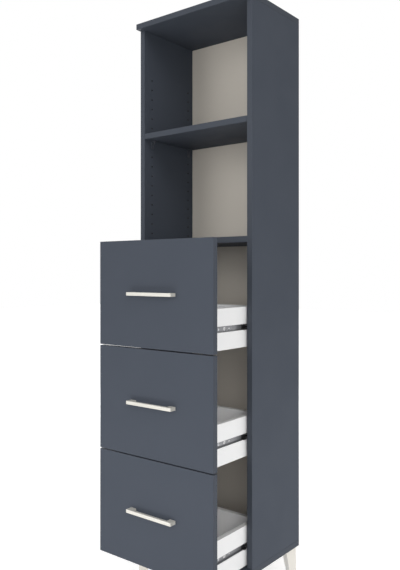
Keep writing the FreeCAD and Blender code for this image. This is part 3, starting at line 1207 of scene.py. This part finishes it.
@dataclass
class Legs:
    """Tapered steel angles with their plates, screws and glides.

    Attributes:
        steel: Thickness of the steel.
        bend: Outer radius of the bend.
        top_width: Width of each flange at the top.
        foot_width: Width of each flange at the foot.
        top_inset: Distance of the top from the cabinet's corner.
        foot_inset: Distance of the foot from the cabinet's corner.
        top_cut: Corner cut off the top plate.
        foot_cut: Corner cut off the foot plate.
        softness: Rounding of cut edges.
        bend_steps: Steps round the bend.
        screw: The screws through the top plates.
        screw_hole: Radius of their holes.
        upright: How squarely a face looks inwards to count as inside the angle, where light is painted.
        glide_steps: Steps round a glide.
        glide_shoulder: Share of a glide's height at which its top begins to narrow.
        glide_top: Share of its radius that is left at the top.
    """

    steel: float = 0.003
    bend: float = 0.004
    top_width: float = 0.06
    foot_width: float = 0.025
    top_inset: float = 0.007
    foot_inset: float = 0.004
    top_cut: float = 0.014
    foot_cut: float = 0.005
    softness: float = 0.0005
    bend_steps: int = 8
    screw: Screw = Screw(shank=0.00225, length=0.014, head=0.0045, height=0.0022)
    screw_hole: float = 0.0026
    upright: float = 0.8
    glide_steps: int = 32
    glide_shoulder: float = 0.8
    glide_top: float = 0.94

    def bend_line(self, radius: float) -> list[Pair]:
        """Lay points on a quarter turn about the middle of the bend.

        Args:
            radius: Radius of the turn.

        Returns:
            The points, each in from the leg's own corner along X and Y.
        """
        points = []
        for step in range(self.bend_steps + 1):
            turn = step / self.bend_steps * math.pi / 2
            points.append((self.bend - radius * math.cos(turn), self.bend - radius * math.sin(turn)))
        return points

    def section(self, width: float, inset: float, height: float) -> list[Vector]:
        """Draw the outline of the angle at a height.

        Args:
            width: Width of each flange.
            inset: Distance from the cabinet's corner, along X and along Y.
            height: Where it lies along Z.

        Returns:
            Its corners, in order.
        """
        outline = self.bend_line(self.bend) + [(width, 0), (width, self.steel)]
        outline += self.bend_line(self.bend - self.steel)[::-1] + [(self.steel, width), (0, width)]
        return [Vector((across + inset, along + inset, height)) for across, along in outline]

    def angle(self, foot: float, top: float) -> Form:
        """Bridge the tapered angle from foot to top.

        Args:
            foot: Height of its foot.
            top: Height of its top.

        Returns:
            The angle.
        """
        form = Form()
        low_end = self.section(self.foot_width, self.foot_inset, foot)
        high_end = self.section(self.top_width, self.top_inset, top)
        loops = []
        for points in (low_end, high_end):
            verts = [form.mesh.verts.new(point) for point in points]
            loops += [form.mesh.edges.new(pair) for pair in zip(verts, verts[1:] + verts[:1])]
            form.mesh.faces.new(verts)
        bmesh.ops.bridge_loops(form.mesh, edges=loops)
        return form.closed()

    def plate(self, width: float, inset: float, cut: float, base: float) -> Form:
        """Make a plate inside the angle, with its free corner cut off.

        Args:
            width: Width of the angle's flanges there.
            inset: Distance from the cabinet's corner.
            cut: How much of the corner is cut off.
            base: Height of its underside.

        Returns:
            The plate.
        """
        near, far = self.steel / 2, width - self.steel
        corners = ((near, near), (far, near), (far, far - cut), (far - cut, far), (near, far))
        outline = [Vector((across + inset, along + inset, base)) for across, along in corners]
        return Form.pushed(outline, Vector((0, 0, self.steel)))

    def leg(self, foot: float, top: float) -> Form:
        """Weld a leg from its angle and two plates.

        Args:
            foot: Height of its foot.
            top: Height of its top.

        Returns:
            The leg, with the cabinet's corner at the origin.
        """
        high_plate = self.plate(self.top_width, self.top_inset, self.top_cut, top - self.steel)
        low_plate = self.plate(self.foot_width, self.foot_inset, self.foot_cut, foot)
        return self.angle(foot, top).welded(high_plate, low_plate).rounded(self.softness, is_corner, 2)

    def corner(self, node: str) -> Matrix:
        """Find the cabinet's corner that a leg stands under.

        Args:
            node: The leg's node.

        Returns:
            What moves and mirrors the leg from the origin to that corner.
        """
        low, high = box_of("bottom_panel")
        right, rear = box_of(node)[0].x > 0, "rear" in node
        place = Vector((high.x if right else low.x, high.y if rear else low.y, 0))
        return Matrix.Translation(place) @ Matrix.Diagonal((-1 if right else 1, -1 if rear else 1, 1, 1))

    def faces_inward(self, face: Facet, inward: Vector) -> bool:
        """Whether a face looks to the cabinet's middle, as those inside the angle do, and so takes the
        painted light.
        """
        return max(face.normal.x * inward.x, face.normal.y * inward.y) > self.upright

    def show_leg(self, node: str) -> None:
        """Put a leg into the scene, with its screw holes and painted light inside the angle: the faces
        there take a paler copy of the cream coat.

        Args:
            node: The leg's node.
        """
        low, high = box_of(node)
        form = self.leg(low.z, high.z).twin(self.corner(node))
        holes = []
        for screw in islands("leg_screws"):
            if meets(screw, (low, high)):
                start = middle_of(screw)
                start.z = high.z - 2 * self.steel
                holes.append(Form.bar(self.screw_hole, start, start + Vector((0, 0, 3 * self.steel))))
        inward = Vector((-math.copysign(1, low.x), -math.copysign(1, low.y), 0))
        form.carved(holes).painted(lambda face: self.faces_inward(face, inward))
        show(node + "_angle", form, (CREAM_COAT, CREAM_COAT_PAINTED_LIGHT), "root", "leg_steel", node)

    def show_screws(self) -> None:
        """All screws through the top plates as one piece."""
        seats = []
        for box in islands("leg_screws"):
            seat = middle_of(box)
            seat.z = box[0].z + self.screw.height
            seats.append((seat, Vector((0, 0, -1))))
        form = self.screw.driven(seats)
        show("leg_screw_set", form, (BRIGHT_ZINC,), "root", "screw_steel", "leg_screws")

    def show_glides(self) -> None:
        """Turned plastic glides with a soft rim."""
        pads = []
        for low, high in islands("leg_glides"):
            radius, height = (high.x - low.x) / 2, high.z - low.z
            profile = (
                (0, 0), (radius - height / 3, 0), (radius - height / 9, height / 8), (radius, height / 3),
                (radius, height * self.glide_shoulder), (radius * self.glide_top, height), (0, height),
            )
            foot = middle_of((low, high))
            foot.z = low.z
            pads.append(Form.turned(profile, self.glide_steps).placed(Matrix.Translation(foot)))
        show("leg_glide_pads", Form().add(*pads), (PAD_PLASTIC,), "root", "glide_plastic", "leg_glides")

    def show(self) -> None:
        """The four legs, with their screws and glides."""
        for node in [end + "_" + word + "_leg" for end in ("front", "rear") for word in SIDES]:
            self.show_leg(node)
        self.show_screws()
        self.show_glides()


@dataclass
class Handle:
    """Square bow handle and the two machine screws that hold it.

    Attributes:
        bar: Depth of the bar, seen from above.
        foot: Length of each foot.
        corner: Rounding of the bow's two front corners.
        softness: Rounding of the other edges.
        screw_head: Radius of a screw's head.
        head_height: Height of a screw's head.
        shank: Radius of a screw's shank.
        thread: Distance from thread to thread.
        recess: Half the length of the arms of a screw's recess.
    """

    bar: float = 0.0085
    foot: float = 0.02
    corner: float = 0.0012
    softness: float = 0.0005
    screw_head: float = 0.0045
    head_height: float = 0.0024
    shank: float = 0.002
    thread: float = 0.0009
    recess: float = 0.0026

    def bow(self, box: Box) -> Form:
        """Push the bow up from its outline, seen from above.

        Args:
            box: Its lowest and highest corner.

        Returns:
            The bow, with its edges rounded but for those on the drawer front.
        """
        low, high = box
        back, inner = high.y, low.y + self.bar
        left, right = low.x + self.foot, high.x - self.foot
        corners = (
            (low.x, back), (low.x, low.y), (high.x, low.y), (high.x, back),
            (right, back), (right, inner), (left, inner), (left, back),
        )
        outline = [Vector((x, y, low.z)) for x, y in corners]
        form = Form.pushed(outline, Vector((0, 0, high.z - low.z)))

        def front_corner(edge: Edge) -> bool:
            """Whether an edge is one of the bow's two upright front corners."""
            return run_along(edge, Z) > TOUCH and max(vert.co.y for vert in edge.verts) < low.y + TOUCH

        def off_the_front(edge: Edge) -> bool:
            """Whether an edge is a sharp one that doesn't lie on the drawer front."""
            return is_sharp(edge) and min(vert.co.y for vert in edge.verts) < back - TOUCH

        return form.rounded(self.corner, front_corner).rounded(self.softness, off_the_front, 2)

    def show(self, drawer: str) -> None:
        """Put the handle of a drawer into the scene, with its screws.

        Args:
            drawer: The drawer.
        """
        body = drawer + "_drawer"
        node = drawer + "_handle"
        front = box_of(body + "_front")
        seats, holes = [], []
        for box in islands(node + "_screws"):
            seat, tip, mouth = middle_of(box), middle_of(box), middle_of(box)
            seat.y, tip.y, mouth.y = box[1].y - self.head_height, box[0].y - OVERRUN, front[0].y + OVERRUN
            seats.append((seat, Vector((0, 1, 0))))
            holes.append(Form.bar(self.shank, tip, mouth, SMALL_STEPS))
        show(node + "_bow", self.bow(box_of(node)).carved(holes), (CHAMPAGNE,), body, "handle_metal", node)
        length = front[1].y - box_of(node + "_screws")[0].y
        sizes = {"pitch": self.thread, "recess": self.recess}
        bolts = Screw(self.shank, length, self.screw_head, self.head_height, **sizes).driven(seats)
        show(node + "_bolts", bolts, (BRIGHT_ZINC,), body, "screw_steel", node + "_screws")


@dataclass
class DrawerBox:
    """Front and white box of a drawer.

    Attributes:
        front_softness: Rounding of the front's edges.
        runner_groove: Depth of the groove for the runner's channel.
        runner_play: Room above and below the channel in its groove.
        bolt_hole: Radius of the holes for the handle's screws.
    """

    front_softness: float = 0.001
    runner_groove: float = 0.008
    runner_play: float = 0.0002
    bolt_hole: float = 0.0022

    def show_front(self, drawer: str) -> None:
        """Put a drawer front into the scene, banded all round.

        Args:
            drawer: The drawer.
        """
        body = drawer + "_drawer"
        banded = (Face.LEFT, Face.RIGHT, Face.UNDER, Face.OVER)
        board = Board(body + "_front", banded, softness=self.front_softness)
        tools = board.bores(body + "_dowels") + board.groove(body + "_bottom")
        for box in islands(drawer + "_handle_screws"):
            start, end = middle_of(box), middle_of(box)
            start.y, end.y = board.box[0].y - OVERRUN, board.box[1].y + OVERRUN
            tools.append(Form.bar(self.bolt_hole, start, end))
        board.show(body, "graphite_board", tools)

    def runner_slot(self, board: Board, channel: str, word: str) -> Form:
        """Tool for the groove that the runner's channel lies in.

        Args:
            board: The drawer side.
            channel: The channel's node.
            word: The side it is on.

        Returns:
            The tool, which stands out at both ends.
        """
        low, high = grown(box_of(channel), self.runner_play)
        if word == "right":
            low.x, high.x = board.box[1].x - self.runner_groove, board.box[1].x + OVERRUN
        else:
            low.x, high.x = board.box[0].x - OVERRUN, board.box[0].x + self.runner_groove
        low.y, high.y = board.box[0].y - OVERRUN, board.box[1].y + OVERRUN
        return Form.block(low, high)

    def show_box(self, drawer: str) -> None:
        """Put the sides, the rear and the bottom of the box into the scene.

        Args:
            drawer: The drawer.
        """
        body = drawer + "_drawer"
        bottom = body + "_bottom"
        looks = {"band": WHITE_BAND, "core": WHITE, "cut": WHITE}
        for word in SIDES:
            board = Board(body + "_" + word + "_side", (Face.OVER, Face.REAR), WHITE, **looks)
            tools = [self.runner_slot(board, drawer + "_" + word + "_drawer_channel", word)]
            tools += board.bores(body + "_dowels") + board.groove(bottom)
            board.show(body, "white_drawer_board", tools)
        # The rear and the bottom take the lighter copy of the white, which paints light into the drawer.
        rear = Board(body + "_rear", (Face.OVER,), WHITE_PAINTED_LIGHT, **looks)
        rear.show(body, "white_drawer_board", rear.bores(body + "_dowels") + rear.groove(bottom))
        Panel(bottom, Face.OVER, WHITE_PAINTED_LIGHT).show(bottom + "_sheet", body, "white_drawer_board")


@dataclass
class Runners:
    """Ball-bearing runners: rails on the case, channels in the drawer sides, and ball cages between.

    Distances across are measured from the case side towards the drawer. Every shape is made for the
    right-hand side first.

    Attributes:
        steel: Thickness of rail and channel.
        rail_depth: Depth of the rail.
        rail_half: Half its height.
        channel_mouth: Where the channel's flanges begin.
        web: How far the channel's web lies from the case side.
        channel_half: Half the channel's height.
        holes: Setback behind the drawer front, length and end radius of each long hole in its web.
        screw_setback: Setback of the channel's screw behind the drawer front.
        cage_wall: Thickness of the cage.
        cage_half: Half the cage's inner height.
        cage_mouth: Where the cage's flanges begin.
        cage_web: How far its web lies from the case side.
        wing_length: Length of the cage's wings.
        wing_gap: Room between the wings and the case side.
        wing_reach: How far the outer part of a wing stands from the case side.
        ball_radius: Radius of a ball.
        ball_line: Height of the ball races over the runner's middle.
        ball_pitch: Distance from ball to ball.
        ball_room: Radius of a ball's pocket in the cage.
        rail_screw: The screws that hold a rail.
        rail_setbacks: Their places, from the side's front edge.
        channel_screw: The screw that holds a channel.
        head_play: Room round a countersunk head.
        strip_share: Rounding of a strip's edges, as a share of its thickness.
        wing_share: Rounding of the wings, as a share of the cage's thickness.
        pocket_share: Half a pocket tool's height, as a share of the cage's thickness.
    """

    steel: float = 0.0012
    rail_depth: float = 0.009
    rail_half: float = 0.0048
    channel_mouth: float = 0.0043
    web: float = 0.012
    channel_half: float = 0.0085
    holes: tuple[tuple[float, float, float], ...] = ((0.0705, 0.013, 0.0044), (0.0935, 0.009, 0.0016))
    screw_setback: float = 0.0415
    cage_wall: float = 0.0011
    cage_half: float = 0.0055
    cage_mouth: float = 0.0052
    cage_web: float = 0.0104
    wing_length: float = 0.012
    wing_gap: float = 0.0006
    wing_reach: float = 0.0035
    ball_radius: float = 0.0011
    ball_line: float = 0.00605
    ball_pitch: float = 0.0085
    ball_room: float = 0.0013
    rail_screw: Screw = Screw(0.0025, 0.013, head=0.0034, height=0.0011, sunk=True, recess=0.002)
    rail_setbacks: tuple[float, ...] = (0.037, 0.133, 0.229)
    channel_screw: Screw = replace(rail_screw, length=0.012)
    head_play: float = 0.000125
    strip_share: float = 0.45
    wing_share: float = 0.3
    pocket_share: float = 1.5

    @property
    def face(self) -> float:
        """Where the inner face of the case's right side lies along X."""
        return box_of("right_side_panel")[0].x

    def strip(self, mouth: float, web: float, half: float, wall: float, box: Box) -> Form:
        """Push a C-shaped strip along Y.

        Args:
            mouth: Where its flanges begin, from the case side.
            web: Where its web's far face lies, from the case side.
            half: Half its height.
            wall: Its thickness.
            box: The box whose length and height it has its place from.

        Returns:
            The strip, with its long edges rounded.
        """
        height = height_of(box)
        closed = web - wall if web > mouth else web + wall
        inside = half - wall
        outline = (
            (mouth, half), (web, half), (web, -half), (mouth, -half),
            (mouth, -inside), (closed, -inside), (closed, inside), (mouth, inside),
        )
        points = [Vector((self.face - across, box[0].y, height + up)) for across, up in outline]
        form = Form.pushed(points, Vector((0, box[1].y - box[0].y, 0)))

        def lengthwise(edge: Edge) -> bool:
            """Whether an edge is a corner that runs along the strip."""
            return run_along(edge, Y) > wall and is_corner(edge)

        return form.rounded(wall * self.strip_share, lengthwise)

    def sided(self, form: Form, word: str) -> Form:
        """Choose the shape itself on the right, and its mirror image on the left."""
        return form if word == "right" else form.twin(MIRRORED)

    def rail(self, drawer: str, word: str) -> None:
        """Fix a rail on the case side, with its screws.

        Args:
            drawer: The drawer it carries.
            word: The side it is on.
        """
        node = drawer + "_" + word + "_case_rail"
        box = box_of(node)
        form = self.strip(self.rail_depth, 0.0, self.rail_half, self.steel, box)
        front = box_of("right_side_panel")[0].y
        inwards = Vector((-1, 0, 0))
        seats, holes = [], []
        for setback in self.rail_setbacks:
            place = Vector((self.face, front + setback, height_of(box)))
            behind, ahead = place - inwards * OVERRUN, place + inwards * 2 * self.steel
            holes.append(Form.bar(self.rail_screw.head + self.head_play, behind, ahead))
            seats.append((place + inwards * self.steel, inwards))
        show(node + "_strip", self.sided(form.carved(holes), word), (ZINC,), "root", "runner_steel", node)
        heads = self.sided(self.rail_screw.driven(seats), word)
        show(node + "_screws", heads, (BRIGHT_ZINC,), "root", "screw_steel")

    def long_hole(self, middle: Vector, length: float, radius: float) -> Form:
        """Tool for a hole along X that is long in Y, with round ends.

        Args:
            middle: Middle of the hole at the web.
            length: Its length along Y.
            radius: Radius of its ends.

        Returns:
            The tool, which reaches a wall's thickness out on both sides.
        """
        reach, half = Vector((2 * self.steel, 0, 0)), Vector((0, length / 2 - radius, 0))
        up = Vector((0, 0, radius))
        tool = Form.block(middle - reach - half - up, middle + reach + half + up)
        centres = (middle - half, middle + half)
        return tool.welded(*[Form.bar(radius, centre - reach, centre + reach) for centre in centres])

    def channel(self, drawer: str, word: str) -> None:
        """Lay a channel into the drawer side, with two long holes through its web and a screw.

        Args:
            drawer: The drawer it belongs to.
            word: The side it is on.
        """
        node = drawer + "_" + word + "_drawer_channel"
        body = drawer + "_drawer"
        box = box_of(node)
        form = self.strip(self.channel_mouth, self.web, self.channel_half, self.steel, box)
        web, height = self.face - self.web + self.steel, height_of(box)
        start = box_of(body + "_front")[1].y
        tools = []
        for setback, length, radius in self.holes:
            tools.append(self.long_hole(Vector((web, start + setback, height)), length, radius))
        seat = Vector((web, start + self.screw_setback, height))
        reach = Vector((self.steel, 0, 0))
        tools.append(Form.bar(self.channel_screw.head + self.head_play, seat - 2 * reach, seat + reach))
        show(node + "_strip", self.sided(form.carved(tools), word), (ZINC,), body, "runner_steel", node)
        head = self.sided(self.channel_screw.driven([(seat, Vector((1, 0, 0)))]), word)
        show(node + "_screw", head, (BRIGHT_ZINC,), body, "screw_steel")

    def wings(self, front: float, height: float) -> list[Form]:
        """Make the blocks that thicken and widen the front end of a cage.

        Args:
            front: Where the cage begins along Y.
            height: Height of its middle.

        Returns:
            The blocks, which overlap.
        """
        steps = ((self.cage_web, self.cage_half + self.cage_wall), (self.wing_reach, self.channel_half))
        blocks = []
        for turn in (-1, 1):
            for far, top in steps:
                corner = Vector((self.face - far, front, height + turn * self.cage_half))
                other = Vector((self.face - self.wing_gap, front + self.wing_length, height + turn * top))
                block = Form.block(Vector(map(min, corner, other)), Vector(map(max, corner, other)))
                blocks.append(block.rounded(self.cage_wall * self.wing_share, is_corner, 2))
        return blocks

    def ball_places(self, front: float, rear: float, height: float) -> list[Vector]:
        """Space the balls of a cage along its two races.

        Args:
            front: Where the cage begins along Y.
            rear: Where it ends.
            height: Height of its middle.

        Returns:
            Middles of the balls.
        """
        line = self.face - (self.cage_mouth + self.rail_depth) / 2
        count = int((rear - front - self.wing_length) / self.ball_pitch)
        places = []
        for index in range(count):
            along = front + self.wing_length + (index + 0.5) * self.ball_pitch
            places += [Vector((line, along, height + turn * self.ball_line)) for turn in (-1, 1)]
        return places

    def cage(self, drawer: str, word: str) -> None:
        """Put a ball cage between rail and channel, with its wings, pockets and balls.

        Args:
            drawer: The drawer it runs with.
            word: The side it is on.
        """
        node = drawer + "_" + word + "_ball_cage"
        body = drawer + "_ball_cages"
        box = box_of(node)
        front, rear, height = box[0].y, box[1].y, height_of(box)
        outer = self.cage_half + self.cage_wall
        form = self.strip(self.cage_mouth, self.cage_web, outer, self.cage_wall, box)
        for wing in self.wings(front, height):
            form.welded(wing)
        places = self.ball_places(front, rear, height)
        rise = Vector((0, 0, self.cage_wall * self.pocket_share))
        pockets = [Form.bar(self.ball_room, place - rise, place + rise, SMALL_STEPS) for place in places]
        moulding = self.sided(form.carved(pockets), word)
        show(node + "_moulding", moulding, (BLACK_PLASTIC,), body, "cage_plastic", node)
        balls = Form().add(*[Form.ball(self.ball_radius, place) for place in places])
        show(node + "_balls", self.sided(balls, word), (BALL_STEEL,), body, "screw_steel")

    def show(self, drawer: str) -> None:
        """Put both runners of a drawer into the scene.

        Args:
            drawer: The drawer.
        """
        for word in SIDES:
            self.rail(drawer, word)
            self.channel(drawer, word)
            self.cage(drawer, word)


@dataclass(frozen=True)
class Lamp:
    """Soft white lamp with a rectangular face.

    Attributes:
        name: Name of the lamp.
        place: Middle of its face.
        target: The point it looks at.
        size: Width and height of its face.
        power: Its power in watts.
    """

    name: str
    place: tuple[float, float, float]
    target: tuple[float, float, float]
    size: Pair
    power: float

    def light(self) -> None:
        """Put the lamp into the scene, where the camera doesn't see it."""
        data = bpy.data.lights.new(self.name, "AREA")
        data.shape = "RECTANGLE"
        data.size, data.size_y = self.size
        data.energy = self.power
        lamp = linked(self.name, data)
        lamp.location = self.place
        look = Vector(self.target) - Vector(self.place)
        lamp.rotation_euler = look.to_track_quat("-Z", "Y").to_euler()
        lamp.visible_camera = False


@dataclass
class Studio:
    """Camera, pale floor, plain surroundings and soft lamps.

    Attributes:
        camera_place: Where the camera stands.
        heading: Its heading to the left of straight ahead, in degrees.
        image: Width and height of the photograph, in pixels.
        centre: The photograph's straight-ahead point, in pixels.
        focal_length: Focal length in pixels.
        film: Length of the film's long side, in millimetres.
        floor_reach: Half the width of the floor.
        floor_squares: Squares of its mesh along each side.
        floor_colours: The two colours that its faint clouds are between.
        floor_scale: Clouds in a metre.
        floor_octaves: Octaves of the clouds' noise.
        floor_dullness: Roughness of the floor.
        floor_fade: Distances between which the floor turns from lit to plain white.
        floor_glow: Level of plain white in the floor near the cabinet.
        ambient: Level of the light from all round.
        lamps: The lamps.
    """

    camera_place: tuple[float, float, float] = (1.25645, -1.61308, 1.03338)
    heading: float = 38.73
    image: tuple[int, int] = (400, 570)
    centre: Pair = (190.0, 272.02)
    focal_length: float = 647.75
    film: float = 36.0
    floor_reach: float = 14.0
    floor_squares: int = 8
    floor_colours: tuple[Colour, Colour] = ((247, 247, 246), (244, 244, 244))
    floor_scale: float = 6.0
    floor_octaves: float = 4.0
    floor_dullness: float = 0.85
    floor_fade: Pair = (0.9, 3.2)
    floor_glow: float = 0.4
    ambient: float = 0.365
    lamps: tuple[Lamp, ...] = (
        Lamp("key_lamp", (-1.7, -3.4, 1.7), (0, -0.1, 0.8), (2.2, 2.4), 42),
        Lamp("high_left_lamp", (-1.7, -3.2, 2.8), (0, -0.1, 0.8), (2.0, 1.6), 7.2),
        Lamp("high_front_lamp", (0.7, -3.4, 2.7), (0, -0.1, 0.9), (1.6, 1.6), 5),
        Lamp("overhead_lamp", (0.1, -0.9, 3.3), (0, -0.2, 0.6), (1.2, 1.2), 2.5),
        Lamp("camera_side_lamp", (1.6, -2.2, 1.1), (0.1, -0.1, 0.7), (0.9, 0.9), 5.5),
        Lamp("gap_lamp", (1.7, -1.3, 1.3), (0.1, -0.1, 0.5), (0.9, 0.9), 10.5),
        Lamp("high_right_lamp", (2.2, -1.4, 3.0), (0.1, 0, 0.7), (1.4, 1.4), 22.5),
        Lamp("low_right_lamp", (1.4, 0.4, 0.1), (0.22, 0.12, 0.15), (0.9, 0.2), 5.5),
        Lamp("floor_lamp", (-0.1, -1.0, 0.03), (0, -0.3, 0.35), (1.2, 0.7), 5.7),
        Lamp("rear_lamp", (-2.4, 2.6, 1.8), (0, 0.1, 0.9), (1.8, 1.8), 45),
    )

    def set_camera(self) -> None:
        """Stand the camera where the photograph was taken from."""
        width, height = self.image
        data = bpy.data.cameras.new("camera")
        data.sensor_width = self.film
        data.lens = self.focal_length / height * self.film
        data.shift_x = (width / 2 - self.centre[0]) / height
        data.shift_y = (self.centre[1] - height / 2) / height
        camera = linked("camera", data)
        camera.location = self.camera_place
        camera.rotation_euler = (math.pi / 2, 0, math.radians(self.heading))
        bpy.context.scene.camera = camera

    def light_world(self) -> None:
        """Even light from all round, and plain white where it is seen or mirrored."""
        world = bpy.data.worlds.new("surroundings")
        bpy.context.scene.world = world
        sheet = Sheet(world)
        levels = []
        for level in (self.ambient, 1.0):
            glow = {"Color": linear(PURE_WHITE), "Strength": level}
            levels.append(sheet.add("ShaderNodeBackground", glow).outputs[0])
        mix = sheet.add("ShaderNodeMixShader", {0: sheet.seen(), 1: levels[0], 2: levels[1]})
        sheet.add("ShaderNodeOutputWorld", {"Surface": mix.outputs[0]})

    def floor_material(self) -> bpy.types.Material:
        """Paint the floor: pale and matt near the cabinet, and plain white further out.

        Returns:
            The material.
        """
        sheet = Sheet(bpy.data.materials.new("pale_floor"))
        place = sheet.add("ShaderNodeTexCoord", {}).outputs["Object"]
        noise = {"Vector": place, "Scale": self.floor_scale, "Detail": self.floor_octaves}
        clouds = sheet.spread(sheet.add("ShaderNodeTexNoise", noise).outputs[0], 0.0, 1.0)
        colour = sheet.mix(clouds, *map(linear, self.floor_colours))
        coat = {"Base Color": colour, "Roughness": self.floor_dullness}
        matt = sheet.add("ShaderNodeBsdfPrincipled", coat)
        distance = sheet.add("ShaderNodeVectorMath", {0: place}, operation="LENGTH").outputs["Value"]
        level = sheet.spread(distance, self.floor_glow, 1.0, self.floor_fade)
        glow = sheet.add("ShaderNodeEmission", {"Color": linear(PURE_WHITE), "Strength": level})
        lit = sheet.add("ShaderNodeAddShader", {0: matt.outputs[0], 1: glow.outputs[0]})
        whole = sheet.add("ShaderNodeMixShader", {0: sheet.seen(), 1: matt.outputs[0], 2: lit.outputs[0]})
        sheet.add("ShaderNodeOutputMaterial", {"Surface": whole.outputs[0]})
        return sheet.owner

    def lay_floor(self) -> None:
        """Pale floor that keeps a shadow near the cabinet."""
        form = Form()
        squares = {"x_segments": self.floor_squares, "y_segments": self.floor_squares}
        bmesh.ops.create_grid(form.mesh, size=self.floor_reach, **squares)
        data = form.data("floor")
        data.materials.append(self.floor_material())
        linked("floor", data)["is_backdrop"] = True

    def set_up(self) -> None:
        """Camera, floor, surroundings and lamps."""
        self.set_camera()
        self.light_world()
        self.lay_floor()
        for lamp in self.lamps:
            lamp.light()
        bpy.context.scene.view_settings.view_transform = "Standard"


def corners(box: Box) -> Iterator[list[float]]:
    """Both corners of a box as plain lists."""
    for corner in box:
        yield list(corner)


def main() -> None:
    """Dress the whole cabinet and set up the studio."""
    logging.basicConfig(level=logging.INFO, format="%(name)s: %(message)s")
    packed = list(corners(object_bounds()))
    Studio().set_up()
    Case().show()
    Dowels().show("case", "root")
    Supports().show()
    Legs().show()
    for drawer in DRAWERS:
        body = drawer + "_drawer"
        DrawerBox().show_front(drawer)
        DrawerBox().show_box(drawer)
        Dowels().show(body, body)
        Handle().show(drawer)
        Runners().show(drawer)
    {"packed": packed, "dressed": list(corners(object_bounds()))}


if __name__ == "__main__":
    main()
